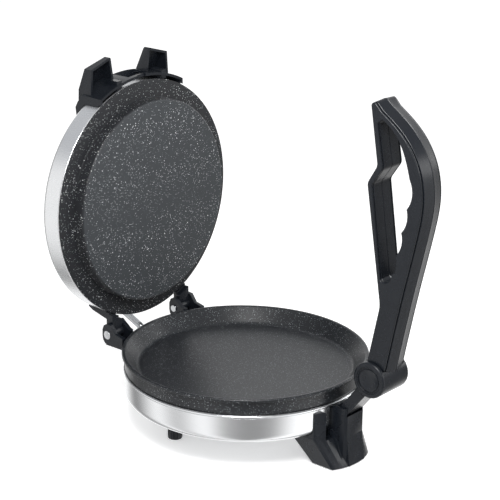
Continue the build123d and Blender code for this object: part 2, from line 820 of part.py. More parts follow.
def conduit():
    # straight, bend, straight, bend back, straight
    top, bend_1, bend_1_end, bend_2, bend_2_end, low = conduit_corners()
    half = radians(conduit_turn) / 2
    across = conduit_bend * (1 - cos(half))
    along = conduit_bend * sin(half)
    middle_1 = (bend_1[0] - across, bend_1[1] - along)
    middle_2 = (bend_2_end[0] + across, bend_2_end[1] + along)

    def spot(point):
        return (conduit_x, point[0], point[1])

    route = Wire([
        Line(spot(top), spot(bend_1)),
        ThreePointArc(spot(bend_1), spot(middle_1), spot(bend_1_end)),
        Line(spot(bend_1_end), spot(bend_2)),
        ThreePointArc(spot(bend_2), spot(middle_2), spot(bend_2_end)),
        Line(spot(bend_2_end), spot(low)),
    ])
    section = Plane(origin=spot(top), z_dir=(0, 0, -1)) * Circle(conduit_radius)
    return sweep(section, path=route)


def gland():
    # housing on the back of the lid, lid shut; the conduit leaves it towards the hinge
    half = conduit_radius + gland_wall
    mouth = lid_radius - gland_inset
    z = conduit_back
    outline = [(mouth, lid_top), (mouth, z + half), (mouth - gland_length + 8, z + half),
               (mouth - gland_length, lid_top + 4), (mouth - gland_length, lid_top)]
    body = plate_x(outline, conduit_x - half, conduit_x + half)
    body = fillet(body.edges().filter_by(Axis.Y).group_by(Axis.Z)[-1], 4.0)
    body -= lid_envelope(seat_gap)
    bore = Cylinder(conduit_radius + conduit_play, 20, align=LOW)
    return body - Pos(conduit_x, mouth - conduit_insert, z) * Rot(-90, 0, 0) * bore


def conduit_socket():
    # box on the rear of the drum, open at the top for the conduit
    half = conduit_radius + gland_wall
    low = conduit_corners()[-1]
    mouth_z = low[1] + conduit_insert - 0.2
    outline = [(drum_radius - 3, low[1] - 9), (low[0] - 2, low[1] - 9), (low[0] + half, low[1] - 3),
               (low[0] + half, mouth_z), (drum_radius - 3, mouth_z)]
    body = plate_x(outline, conduit_x - half, conduit_x + half)
    body = fillet(body.edges().filter_by(Axis.Z).group_by(Axis.Y)[-1], 3.0)
    body -= base_envelope(seat_gap)
    body -= tube_z(drum_radius + seat_gap, drum_bottom + drum_corner, rim_top)
    return body - tube_z(conduit_radius + conduit_play, low[1] - 0.2, mouth_z + 1, conduit_x, low[0])


def mains_gland():
    # strain relief boss on the drum's side, away from the lever
    place = Rot(0, 0, inlet_angle) * Pos(drum_radius, 0, drum_bottom + inlet_rise) * Rot(0, 90, 0)
    body = place * Cylinder(inlet_boss, inlet_boss_length, align=LOW)
    body += place * Cylinder(inlet_guard, inlet_length, align=LOW)
    body -= base_envelope(seat_gap)
    return body - place * Pos(0, 0, inlet_bore_start) * Cylinder(inlet_bore, inlet_length, align=LOW)


# ---- lever ---------------------------------------------------------------------------------------

def barrel_sector(radius, half, start, end):
    # wedge around the barrel axis between two angles, measured from +Y towards +Z
    steps = 6
    points = [(barrel_y, barrel_z)]
    for i in range(steps + 1):
        angle = radians(start + (end - start) * i / steps)
        points.append((barrel_y + radius * cos(angle), barrel_z + radius * sin(angle)))
    return plate_x(points, -half, half)


def arm():
    root = tube_x(arm_thickness / 2, -arm_half, arm_half, pivot_y, pivot_z)
    half = arm_thickness / 2
    top = arm_length - barrel_radius + barrel_wall
    beam = plate_x([along_arm(0, -half), along_arm(top, -half - arm_spread), along_arm(top, half + arm_spread),
                    along_arm(0, half)], -arm_half, arm_half)
    barrel = tube_x(barrel_radius, -barrel_half, barrel_half, barrel_y, barrel_z)
    barrel = fillet(barrel.edges().filter_by(GeomType.CIRCLE), barrel_round)
    body = root + beam + barrel
    through = barrel_half + 1
    body -= tube_x(barrel_radius - barrel_wall, -through, through, barrel_y, barrel_z)
    body -= barrel_sector(barrel_radius + barrel_wall, handle_half + slot_side, slot_behind, slot_ahead)
    return body - tube_x(pivot_pin + bore_gap, -through, through, pivot_y, pivot_z)


def barrel_cap():
    # dished plug in the right end of the barrel
    radius = barrel_radius - barrel_wall - bore_gap
    outside = barrel_half - cap_inset
    cap = tube_x(radius, outside - cap_thickness, outside, barrel_y, barrel_z)
    cap = fillet(cap.edges().group_by(Axis.X)[-1], 0.7)
    dish_radius = (radius - cap_land) ** 2 / (2 * cap_dish)
    dish = Pos(outside + dish_radius - cap_dish, barrel_y, barrel_z) * Sphere(dish_radius)
    cap -= dish
    return cap - tube_x(barrel_pin + bore_gap, 0, outside - cap_thickness + cap_bore, barrel_y, barrel_z)


def barrel_pin_bar():
    end = barrel_half - cap_inset - cap_thickness + cap_bore - 0.1
    return tube_x(barrel_pin, -end, end, barrel_y, barrel_z)


def rounded(face, point, radius):
    corner = face.vertices().sort_by_distance(Vector(point[0], point[1], 0))[0]
    return fillet(corner, radius)


def handle_face(grow=0.0):
    # outline of the handle; grow pushes its outer edge out to the crown at the seam
    crest_out = [(y - grow, z + 0.3 * grow) for y, z in crest]
    base = (beak_base[0] - 0.6 * grow, beak_base[1] + 0.6 * grow)
    back = (beak_back[0] - 0.2 * grow, beak_back[1] + 0.6 * grow)
    top = (beak_tip[0] + 0.1 * grow, beak_tip[1] + 0.6 * grow)
    outer = Spline((neck_outer[0] - 0.4 * grow, neck_outer[1]), *crest_out, base)
    tip = Line(base, back) + ThreePointArc(back, top, beak_front)
    inner = Polyline(beak_front, notch, shelf, waist, neck_inner, neck_root_inner, neck_root_outer,
                     (neck_outer[0] - 0.4 * grow, neck_outer[1]))
    face = make_face(outer + tip + inner)
    face = rounded(face, notch, 9.0)
    face = rounded(face, shelf, 9.0)
    return rounded(face, waist, 30.0)


def loop_face():
    # finger loop, with a scallop for each finger on its outer side
    back = Spline(loop_top, *loop_back, finger_start)
    top_finger = ThreePointArc(finger_start, top_finger_middle, first_cusp)
    edges = back + top_finger
    step = ((last_cusp[0] - first_cusp[0]) / finger_count, (last_cusp[1] - first_cusp[1]) / finger_count)
    for i in range(finger_count):
        start = (first_cusp[0] + i * step[0], first_cusp[1] + i * step[1])
        end = (start[0] + step[0], start[1] + step[1])
        middle = ((start[0] + end[0]) / 2 - finger_depth, (start[1] + end[1]) / 2)
        edges += ThreePointArc(start, middle, end)
    edges += ThreePointArc(last_cusp, loop_floor, loop_corner)
    edges += Polyline(loop_corner, loop_shelf, loop_notch, loop_front, loop_top)
    face = make_face(edges)
    face = rounded(face, loop_shelf, 7.0)
    face = rounded(face, loop_notch, 8.0)
    face = rounded(face, loop_front, 2.5)
    return rounded(face, loop_top, 2.0)


def standing(face, x):
    # a side view placed on the barrel axis at one x
    return Plane(origin=(x, barrel_y, barrel_z), x_dir=(0, 1, 0), z_dir=(1, 0, 0)) * face


def handle_shell():
    # right half of the handle; the left half is its mirror image
    body = loft([standing(handle_face(crown), seam_gap), standing(handle_face(), handle_half)], ruled=True)
    body -= extrude(standing(loop_face(), -1), amount=handle_half + 2)
    body += tube_x(hub_radius, seam_gap, handle_half - joint_gap, barrel_y, barrel_z)
    body -= tube_x(barrel_pin + bore_gap, -1, handle_half + 1, barrel_y, barrel_z)
    for y, z in handle_screw_places:
        body -= tube_x(handle_screw + bore_gap, -1, handle_half - handle_screw_cover, barrel_y + y, barrel_z + z)
    return body


def handle_halves():
    # the screw heads are let into the right side; the left side is closed
    right = handle_shell()
    left = mirror(right, Plane.YZ)
    for y, z in handle_screw_places:
        right -= tube_x(handle_screw_head + joint_gap, handle_screw_seat, handle_half + 1, barrel_y + y, barrel_z + z)
    return right, left


def handle_screws():
    screws = []
    for y, z in handle_screw_places:
        shank = tube_x(handle_screw, -handle_half + handle_screw_cover + 1, handle_screw_seat + 1,
                       barrel_y + y, barrel_z + z)
        head = tube_x(handle_screw_head, handle_screw_seat, handle_screw_seat + 2, barrel_y + y, barrel_z + z)
        screws.append(shank + head)
    return screws


# ---- assembly ------------------------------------------------------------------------------------


def fixed_pieces():
    feet = {"foot_" + side: [small_foot(*place)] for side, place in foot_places.items()}
    right_hinge, left_hinge = both_sides(base_hinge())
    right_pin, left_pin = both_sides(hinge_pin_bar())
    return {
        "base_shell": [base_shell()],
        "lower_plate": [lower_plate()],
        "lower_element": [heating_element(lower_element_z)],
        "lower_reflector": [reflector(lower_reflector_z, pan_under_z)],
        "thermostat": [thermostat()],
        "thermal_fuse": [thermal_fuse()],
        "terminal_block": [terminal_block()],
        "bottom_cover": [bottom_cover()],
        "cover_screws": cover_screws(),
        **feet,
        "foot_screws": [foot_screw(*place) for place in foot_places.values()],
        "front_leg": [front_leg()],
        "leg_pad": [leg_pad()],
        "leg_screws": leg_screws(),
        "arm_pivot_pin": [pivot_pin_bar()],
        "base_hinge_left": [left_hinge],
        "base_hinge_right": [right_hinge],
        "base_hinge_screws": hinge_screws(),
        "hinge_pin_left": [left_pin],
        "hinge_pin_right": [right_pin],
        "conduit": [conduit()],
        "conduit_socket": [conduit_socket()],
        "mains_gland": [mains_gland()],
    }


def lid_pieces():
    right_hinge, left_hinge = both_sides(lid_hinge())
    return {
        "lid_shell": [lid_shell()],
        "upper_plate": [upper_plate()],
        "upper_element": [heating_element(upper_element_z)],
        "upper_reflector": [reflector(upper_reflector_z, disc_face_z + plate_thickness)],
        "upper_fuse": [upper_fuse()],
        "front_bracket": [front_bracket()],
        "bracket_screws": bracket_screws(),
        "lid_hinge_left": [left_hinge],
        "lid_hinge_right": [right_hinge],
        "lid_hinge_screws": arm_screws(),
        "conduit_gland": [gland()],
    }


def lever_pieces():
    right_cap, left_cap = both_sides(barrel_cap())
    right_half, left_half = handle_halves()
    return {
        "arm": [arm()],
        "barrel_cap_left": [left_cap],
        "barrel_cap_right": [right_cap],
        "barrel_pin": [barrel_pin_bar()],
        "handle_left": [left_half],
        "handle_right": [right_half],
        "handle_screws": handle_screws(),
    }


nodes = fixed_pieces() | lever_pieces()
nodes |= {name: [opened(solid) for solid in solids] for name, solids in lid_pieces().items()}
extent = Compound([solid for solids in nodes.values() for solid in solids]).bounding_box()
centring = Pos(0, -(extent.min.Y + extent.max.Y) / 2, 0)
for name, solids in nodes.items():
    placed = [centring * solid for solid in solids]
    export_step(placed[0] if len(placed) == 1 else Compound(placed), "parts/" + name + ".step")
print("hinge axis y, z:", hinge_y + centring.position.Y, hinge_z)
print("barrel axis y, z:", barrel_y + centring.position.Y, barrel_z)
print("arm pivot y, z:", pivot_y + centring.position.Y, pivot_z)
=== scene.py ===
import json
import math
import bmesh
import bpy
import numpy as np
from mathutils import Matrix, Vector

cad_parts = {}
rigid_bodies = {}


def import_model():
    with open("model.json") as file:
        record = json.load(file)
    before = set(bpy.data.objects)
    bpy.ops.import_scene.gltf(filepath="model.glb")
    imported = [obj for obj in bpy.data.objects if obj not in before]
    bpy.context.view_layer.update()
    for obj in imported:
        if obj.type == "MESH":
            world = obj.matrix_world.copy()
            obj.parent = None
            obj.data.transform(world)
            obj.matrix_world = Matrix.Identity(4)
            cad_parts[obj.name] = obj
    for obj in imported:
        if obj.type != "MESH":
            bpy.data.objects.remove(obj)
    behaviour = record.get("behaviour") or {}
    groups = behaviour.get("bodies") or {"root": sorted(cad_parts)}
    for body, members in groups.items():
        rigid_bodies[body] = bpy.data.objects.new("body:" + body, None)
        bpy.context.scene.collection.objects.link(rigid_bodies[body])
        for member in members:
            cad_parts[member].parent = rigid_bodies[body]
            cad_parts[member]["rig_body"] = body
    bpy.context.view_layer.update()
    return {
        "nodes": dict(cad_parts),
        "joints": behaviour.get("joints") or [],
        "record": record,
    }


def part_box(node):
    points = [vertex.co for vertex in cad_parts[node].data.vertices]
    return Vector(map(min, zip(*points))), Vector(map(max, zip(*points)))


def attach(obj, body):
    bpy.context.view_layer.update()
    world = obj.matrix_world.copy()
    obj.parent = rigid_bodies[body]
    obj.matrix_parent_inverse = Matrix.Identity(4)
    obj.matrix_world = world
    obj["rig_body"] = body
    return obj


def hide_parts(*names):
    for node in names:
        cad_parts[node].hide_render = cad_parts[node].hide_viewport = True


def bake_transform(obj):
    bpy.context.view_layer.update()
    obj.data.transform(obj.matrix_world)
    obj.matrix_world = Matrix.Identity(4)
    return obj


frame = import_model()
nodes = frame["nodes"]
joints = {joint["name"]: joint for joint in frame["joints"]}
shellLow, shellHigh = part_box("base_shell")
drumY = (shellLow.y + shellHigh.y) / 2  # the drum axis stands at x = 0 and this y
mm = 0.001  # in metres
mergeGap = 0.004  # points closer than this many mm are one point
fine = 192  # steps round the large turned pieces


# surfaces, all worked out in mm

def unit(v):
    # v / |v| along the last axis
    return v / np.maximum(np.linalg.norm(v, axis=-1, keepdims=True), 1e-12)


def roundCorners(points, radii, steps=7):
    # closed polygon with arcs for corners: an arc of radius r starts r / tan(half the corner) from the corner,
    # and its points are the circular blend sin((1-t)f) A + sin(t f) B over sin(f), f being the arc's angle
    p = np.array(points, float)
    r = np.broadcast_to(np.array(radii, float), len(p))[:, None]
    a, b = unit(np.roll(p, 1, 0) - p), unit(np.roll(p, -1, 0) - p)
    half = np.arccos(np.clip((a * b).sum(1), -0.99999, 0.99999))[:, None] / 2
    centre = p + unit(a + b) * r / np.sin(half)
    first, last = p + a * r / np.tan(half) - centre, p + b * r / np.tan(half) - centre
    f = (np.pi - 2 * half)[:, None]
    t = np.linspace(0, 1, steps)[None, :, None]
    arcs = (np.sin((1 - t) * f) * first[:, None] + np.sin(t * f) * last[:, None]) / np.sin(f) + centre[:, None]
    return arcs.reshape(-1, 2)


def smoothThrough(points, count):
    # natural cubic spline through the points over chord length
    p = np.array(points, float)
    h = np.linalg.norm(np.diff(p, axis=0), axis=1)
    s = np.concatenate([[0], np.cumsum(h)])
    n = len(p)
    band = np.eye(n)
    right = np.zeros((n, 2))
    k = np.arange(1, n - 1)
    band[k, k - 1], band[k, k], band[k, k + 1] = h[:-1], 2 * (h[:-1] + h[1:]), h[1:]
    right[1:-1] = 6 * (np.diff(p[1:], axis=0) / h[1:, None] - np.diff(p[:-1], axis=0) / h[:-1, None])
    bend = np.linalg.solve(band, right)
    x = np.linspace(0, s[-1], count)
    i = np.clip(np.searchsorted(s, x, "right") - 1, 0, n - 2)
    u, v, w = (x - s[i])[:, None], (s[i + 1] - x)[:, None], h[i][:, None]
    return (bend[i] * v ** 3 + bend[i + 1] * u ** 3) / (6 * w) + (p[i] / w - bend[i] * w / 6) * v \
        + (p[i + 1] / w - bend[i + 1] * w / 6) * u


def arcThrough(a, middle, b, count):
    # circle through three points: the centre is where the perpendicular bisectors meet
    a, middle, b = (np.array(q, float) for q in (a, middle, b))
    rows = np.array([middle - a, b - a])
    centre = np.linalg.solve(2 * rows, [middle @ middle - a @ a, b @ b - a @ a])
    start, via, end = (math.atan2(*(q - centre)[::-1]) for q in (a, middle, b))
    turn, part = (end - start) % (2 * math.pi), (via - start) % (2 * math.pi)
    turn -= 2 * math.pi if part > turn else 0
    angle = start + turn * np.linspace(0, 1, count)
    return centre + np.linalg.norm(a - centre) * np.stack([np.cos(angle), np.sin(angle)], 1)


def gridFaces(rows, cols, wrapRows, wrapCols, start=0):
    # four-cornered faces between neighbours of a grid that is stored row by row
    down, across = rows if wrapRows else rows - 1, cols if wrapCols else cols - 1
    i, j = np.meshgrid(np.arange(down), np.arange(across), indexing="ij")
    iNext, jNext = (i + 1) % rows, (j + 1) % cols
    quads = np.stack([i * cols + j, i * cols + jNext, iNext * cols + jNext, iNext * cols + j], -1)
    return quads.reshape(-1, 4) + start


def turnedGrid(profile, steps, axis="z"):
    # surface of revolution: a (radius, height) profile turned round the axis in even steps
    angle = np.arange(steps) * 2 * np.pi / steps
    radius, height = np.array(profile, float).T[:, :, None]
    flat = radius * np.cos(angle), radius * np.sin(angle), np.broadcast_to(height, (len(profile), steps))
    order = {"z": (0, 1, 2), "x": (2, 0, 1)}[axis]
    return np.stack([flat[k] for k in order], -1)


def closedObject(name, points, faces, sharp, finish, rings=()):
    # points in mm; the open rings are filled flat, near points merged and all faces turned outwards
    mesh = bpy.data.meshes.new(name)
    mesh.from_pydata((points * mm).tolist(), [], [list(f) for f in faces])
    shape = bmesh.new()
    shape.from_mesh(mesh)
    shape.verts.ensure_lookup_table()
    for group in rings:
        edges = []
        for ring in group:
            for a, b in zip(ring, ring[1:] + ring[:1]):
                ends = shape.verts[a], shape.verts[b]
                edges.append(shape.edges.get(ends) or shape.edges.new(ends))
        bmesh.ops.triangle_fill(shape, edges=edges, use_beauty=True)
    bmesh.ops.remove_doubles(shape, verts=shape.verts, dist=mergeGap * mm)
    bmesh.ops.recalc_face_normals(shape, faces=shape.faces)
    if shape.calc_volume(signed=True) < 0:
        bmesh.ops.reverse_faces(shape, faces=shape.faces)
    shape.to_mesh(mesh)
    shape.free()
    mesh.polygons.foreach_set("use_smooth", np.ones(len(mesh.polygons), bool))
    mesh.set_sharp_from_angle(angle=math.radians(sharp))
    mesh.materials.append(finish)
    piece = bpy.data.objects.new(name, mesh)
    bpy.context.scene.collection.objects.link(piece)
    return piece


def finishPiece(name, points, faces, body, slot, replaced=(), sharp=32, place=(0, 0, 0), turn=None, finish=None):
    # the piece stands at its place in the shared frame, turned there if a turn is given
    points = np.array(points, float).reshape(-1, 3) + np.array(place, float)
    if turn is not None:
        points = turn(points)
    piece = closedObject(name, points, faces, sharp, finish or materials[slot])
    if body:
        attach(piece, body)
    if replaced:
        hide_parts(*replaced)
    return piece


def turnedPiece(name, profile, body, slot, replaced, steps, axis="z", place=(0, 0, 0), turn=None, finish=None):
    grid = turnedGrid(profile, steps, axis)
    faces = gridFaces(len(profile), steps, True, True)
    return finishPiece(name, grid, faces, body, slot, replaced, place=place, turn=turn, finish=finish)


# merge distance in mm, and angles in degrees: faces this flat are joined, edges over the limit are rounded
softEdge = {"merge": 0.01, "flat": 1.0, "limit": 30, "segments": 3, "sharp": 32}


def softened(node, name, width):
    # a copy of the node's own faces, merged, with every edge sharper than the limit rounded by a Bevel
    d = softEdge
    source = nodes[node]
    mesh = source.data.copy()
    mesh.name = name
    shape = bmesh.new()
    shape.from_mesh(mesh)
    bmesh.ops.remove_doubles(shape, verts=shape.verts, dist=d["merge"] * mm)
    bmesh.ops.dissolve_limit(shape, angle_limit=math.radians(d["flat"]), verts=shape.verts, edges=shape.edges)
    shape.to_mesh(mesh)
    shape.free()
    mesh.polygons.foreach_set("use_smooth", np.ones(len(mesh.polygons), bool))
    mesh.materials.clear()
    mesh.materials.append(materials[slotOf[node]])
    piece = bpy.data.objects.new(name, mesh)
    bpy.context.scene.collection.objects.link(piece)
    bevel = piece.modifiers.new("edge rounding", "BEVEL")
    bevel.width = width * mm
    bevel.segments = d["segments"]
    bevel.limit_method = "ANGLE"
    bevel.angle_limit = math.radians(d["limit"])
    bevel.harden_normals = True
    mesh.set_sharp_from_angle(angle=math.radians(d["sharp"]))
    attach(piece, source["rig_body"])
    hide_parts(node)


# materials

def linear(colour):
    # sRGB hex to linear light
    c = np.array([int(colour[i:i + 2], 16) for i in (1, 3, 5)]) / 255
    return tuple(np.where(c <= 0.04045, c / 12.92, ((c + 0.055) / 1.055) ** 2.4)) + (1.0,)


def addNode(tree, kind, settings, links=()):
    # settings go to the node's own properties or to its sockets, links are (socket, output) pairs
    node = tree.nodes.new(kind)
    for key, value in settings.items():
        if isinstance(key, str) and hasattr(node, key):
            setattr(node, key, value)
        else:
            node.inputs[key].default_value = value
    for key, output in links:
        tree.links.new(output, node.inputs[key])
    return node


def newMaterial(name, settings):
    material = bpy.data.materials.new(name)
    material.use_nodes = True
    tree = material.node_tree
    tree.nodes.clear()
    shader = addNode(tree, "ShaderNodeBsdfPrincipled", settings)
    addNode(tree, "ShaderNodeOutputMaterial", {}, [("Surface", shader.outputs["BSDF"])])
    place = addNode(tree, "ShaderNodeTexCoord", {})
    return material, tree, shader, place.outputs["Object"]


def noise(tree, place, size, detail):
    # soft random pattern whose features are about this many mm across
    node = addNode(tree, "ShaderNodeTexNoise", {"Scale": 1 / (size * mm), "Detail": detail}, [("Vector", place)])
    return node.outputs["Fac"]


def mixed(tree, share, first, second):
    # first + share (second - first); either end may be a hex colour or another node's output
    settings, links = {"data_type": "RGBA"}, [(0, share)]
    for socket, end in ((6, first), (7, second)):
        if isinstance(end, str):
            settings[socket] = linear(end)
        else:
            links.append((socket, end))
    return addNode(tree, "ShaderNodeMix", settings, links).outputs[2]


def ranged(tree, value, settings):
    return addNode(tree, "ShaderNodeMapRange", settings, [("Value", value)]).outputs["Result"]


def bumped(tree, height, strength, depth):
    # depth in mm between the lowest and the highest point of the relief
    node = addNode(tree, "ShaderNodeBump", {"Strength": strength, "Distance": depth * mm}, [("Height", height)])
    return node.outputs["Normal"]


def mouldedPlastic(name, look):
    # black ABS from a spark-eroded mould: satin sheen broken by a grain of about half a millimetre
    material, tree, shader, place = newMaterial(name, {"Roughness": look["roughness"], "IOR": look["ior"],
                                                       "Specular IOR Level": look["gloss"]})
    cloud = noise(tree, place, look["cloud"], 3.0)
    grain = noise(tree, place, look["grain"], 2.0)
    low, high = (look["roughness"] + step for step in look["uneven"])
    tree.links.new(mixed(tree, cloud, look["dark"], look["light"]), shader.inputs["Base Color"])
    tree.links.new(ranged(tree, cloud, {"To Min": low, "To Max": high}), shader.inputs["Roughness"])
    tree.links.new(bumped(tree, grain, look["bump"], look["depth"]), shader.inputs["Normal"])
    return material


def speckled(tree, place, look, colour):
    # each cell of a pattern holds one speck at its centre, if its random number is under the share
    for cell, reach, share in look["specks"]:
        cells = addNode(tree, "ShaderNodeTexVoronoi", {"Scale": 1 / (cell * mm)}, [("Vector", place)])
        chance = addNode(tree, "ShaderNodeSeparateColor", {}, [("Color", cells.outputs["Color"])])
        wanted = addNode(tree, "ShaderNodeMath", {"operation": "LESS_THAN", 1: share}, [(0, chance.outputs["Red"])])
        size = ranged(tree, chance.outputs["Green"], {"To Min": look["smallest"] * reach, "To Max": reach})
        near = addNode(tree, "ShaderNodeMath", {"operation": "LESS_THAN"}, [(0, cells.outputs["Distance"]), (1, size)])
        speck = addNode(tree, "ShaderNodeMath", {"operation": "MULTIPLY"},
                        [(0, near.outputs["Value"]), (1, wanted.outputs["Value"])])
        shade = mixed(tree, chance.outputs["Blue"], look["speckDark"], look["speckLight"])
        colour = mixed(tree, speck.outputs["Value"], colour, shade)
    return colour


def nonStickCoating(name, look, disc=None):
    # sprayed two-coat PTFE on cast aluminium: charcoal ground, pale mineral specks, faint orange peel; inside a disc
    # (centre, radius) the ground is painted a paler grey: painted light, a lit copy of the same coat beside its darker
    # shaded rim
    material, tree, shader, place = newMaterial(name, {"Roughness": look["roughness"], "IOR": look["ior"]})
    cloud = noise(tree, place, look["cloud"], 4.0)
    colour = mixed(tree, cloud, look["dark"], look["light"])
    # painted light: inside the disc the ground colour is mixed to the paler painted-lit grey
    if disc:
        reach = addNode(tree, "ShaderNodeVectorMath", {"operation": "DISTANCE", 1: disc[0]}, [(0, place)])
        edge = look["discEdge"] * mm
        inside = ranged(tree, reach.outputs["Value"], {"From Min": disc[1] + edge, "From Max": disc[1] - edge})
        colour = mixed(tree, inside, colour, mixed(tree, cloud, look["discPaintedLitDark"], look["discPaintedLitLight"]))
    colour = speckled(tree, place, look, colour)
    peel = noise(tree, place, look["peel"], 2.0)
    tree.links.new(colour, shader.inputs["Base Color"])
    tree.links.new(bumped(tree, peel, look["bump"], look["depth"]), shader.inputs["Normal"])
    return material


def rolledMetal(name, look):
    # sheet or bar finished along one direction: fine lines that only change the gloss
    material, tree, shader, place = newMaterial(name, {"Metallic": 1.0, "Roughness": look["roughness"]})
    stretch = addNode(tree, "ShaderNodeMapping", {"Scale": look["stretch"]}, [("Vector", place)])
    lines = noise(tree, stretch.outputs["Vector"], look["line"], 3.0)
    low, high = look["roughness"] - look["spread"], look["roughness"] + look["spread"]
    rough = ranged(tree, lines, {"To Min": low, "To Max": high})
    tree.links.new(mixed(tree, lines, look["dark"], look["light"]), shader.inputs["Base Color"])
    tree.links.new(rough, shader.inputs["Roughness"])
    return material


def plainBody(name, look):
    # fired, pressed or moulded body with a mottle and a slight tooth
    material, tree, shader, place = newMaterial(name, {"Roughness": look["roughness"], "IOR": look["ior"]})
    cloud = noise(tree, place, look["cloud"], 5.0)
    tree.links.new(mixed(tree, cloud, look["dark"], look["light"]), shader.inputs["Base Color"])
    tree.links.new(bumped(tree, cloud, look["bump"], look["depth"]), shader.inputs["Normal"])
    return material


# sizes of cloud, grain, peel, line and relief depth in mm; specks are (cell in mm, reach in cells, share of cells)
# black ABS as it leaves a spark-eroded mould
plasticLook = {"dark": "#12151a", "light": "#171a1f", "roughness": 0.26, "uneven": (-0.05, 0.07), "ior": 1.5,
               "gloss": 0.3, "cloud": 14, "grain": 0.5, "bump": 0.3, "depth": 0.02}
# sprayed PTFE over the whole pan
coatingLook = {"dark": "#181a1d", "light": "#202225", "roughness": 0.3, "ior": 1.42, "cloud": 6, "peel": 1.2,
               "bump": 0.25, "depth": 0.03, "specks": [(1.3, 0.3, 0.6), (3.2, 0.17, 0.7)], "smallest": 0.45,
               "speckDark": "#484b50", "speckLight": "#9a9ea1"}
# the same spray, duller, on the press plate, whose disc gets a paler ground as painted light
discLook = dict(coatingLook, dark="#17181b", light="#1f2124", discPaintedLitDark="#2c2f32", discPaintedLitLight="#35383b", discEdge=0.5,
                roughness=0.46, ior=1.36, specks=[(1.5, 0.25, 0.55), (3.4, 0.17, 0.95)], speckDark="#74787d",
                speckLight="#eef0f0")
# stainless sheet, belt-polished to satin and drawn
steelLook = {"dark": "#dcdddf", "light": "#e8e9ea", "roughness": 0.2, "stretch": (0.02, 0.02, 1), "line": 0.4,
             "spread": 0.03}
# hot-dip zinc on mild steel, with its large dull crystals
zincLook = {"dark": "#8e9194", "light": "#a9acaf", "roughness": 0.45, "stretch": (1, 1, 1), "line": 9, "spread": 0.08}
# steel sheath of a heating tube, browned by heat
tubeLook = {"dark": "#58524d", "light": "#7a7068", "roughness": 0.5, "stretch": (1, 1, 1), "line": 12, "spread": 0.06}
# deep-drawn aluminium can
canLook = {"dark": "#b5b8bb", "light": "#c6c8ca", "roughness": 0.3, "stretch": (0.1, 1, 1), "line": 0.3, "spread": 0.05}
# electroplated zinc on pressed screws
screwLook = {"dark": "#a4a7aa", "light": "#bfc1c3", "roughness": 0.32, "stretch": (1, 1, 1), "line": 1.5,
             "spread": 0.06}
# bar steel, turned and headed cold
pinLook = {"dark": "#bcbec0", "light": "#d2d3d5", "roughness": 0.25, "stretch": (1, 0.1, 0.1), "line": 0.3,
           "spread": 0.04}
# drawn steel tube, plated bright
conduitLook = {"dark": "#a9abad", "light": "#c7c9cb", "roughness": 0.2, "stretch": (1, 0.1, 0.1), "line": 0.5,
               "spread": 0.04}
# steatite, pressed and fired without a glaze
ceramicLook = {"dark": "#d9d2c4", "light": "#e9e4d9", "roughness": 0.6, "ior": 1.55, "cloud": 2, "bump": 0.3,
               "depth": 0.05}
# black rubber, moulded
rubberLook = {"dark": "#161617", "light": "#1f1f21", "roughness": 0.8, "ior": 1.5, "cloud": 3, "bump": 0.3,
              "depth": 0.05}

materials = {
    "black_plastic": mouldedPlastic("black moulded ABS", plasticLook),
    "nonstick_coating": nonStickCoating("speckled non-stick on cast aluminium", coatingLook),
    "stainless_steel": rolledMetal("satin stainless sheet", steelLook),
    "galvanised_steel": rolledMetal("zinc-coated sheet", zincLook),
    "element_steel": rolledMetal("heat-tinted tube", tubeLook),
    "fuse_metal": rolledMetal("drawn aluminium can", canLook),
    "zinc_screw": rolledMetal("zinc-plated screw", screwLook),
    "pin_steel": rolledMetal("turned steel pin", pinLook),
    "conduit_steel": rolledMetal("bright steel tube", conduitLook),
    "ceramic_body": plainBody("unglazed ceramic", ceramicLook),
    "rubber_pad": plainBody("black rubber", rubberLook),
}
slotOf = {part["node"]: part["material_slot"] for part in frame["record"]["subparts"]}
for name, node in nodes.items():
    node.data.materials.clear()
    node.data.materials.append(materials[slotOf[name]])
print("materials:", len(materials))


# base drum and pan

drum = {"radius": 127.0, "bottom": 33.8, "top": 65.7, "wall": 0.8, "corner": 10.0, "opening": 100.0, "flange": 8.0,
        "beadRadius": 1.1, "beadReach": 0.2, "beadDrop": 1.3, "crease": 0.5}


def makeDrum(d):
    # drawn cup: wall, rolled bottom corner, inward flanges, a rolled bead just under the top and a crease below it
    r, w, low, high = d["radius"], d["wall"], d["bottom"], d["top"]
    b, beadZ, beadR = d["beadRadius"], high - d["beadDrop"], r + d["beadReach"]
    crease = d["crease"]
    outline = [(d["opening"], low), (r, low), (r, beadZ - b - 2 * crease), (r - crease, beadZ - b - crease),
               (r - crease, beadZ - b), (beadR + b, beadZ - b), (beadR + b, beadZ + b), (r, beadZ + b),
               (r, high), (r - d["flange"], high), (r - d["flange"], high - w), (r - w, high - w), (r - w, low + w),
               (d["opening"], low + w)]
    radii = [0.2, d["corner"], 0.2, 0.2, 0.1, 1.05, 1.05, 0.05, 0.05, 0.2, 0.2, 0.3, d["corner"] - w, 0.2]
    turnedPiece("drum_shell", roundCorners(outline, radii, 9), "base", "stainless_steel", ["base_shell"], fine,
                place=(0, drumY / mm, 0))


pan = {"rim": 130.0, "rimTop": 84.2, "rimRound": 1.5, "landRound": 2.7, "land": 3.5, "lip": 3.2, "lipSlope": 0.6,
       "wall": 127.0, "skirt": 123.3, "skirtZ": 66.0, "hollow": 73.2, "groove": 1.7, "grooveTop": 68.1,
       "grooveSlope": 0.4, "floorRadius": 113.0, "floorZ": 68.2, "floorWall": 3.0, "floorRound": 6.0}


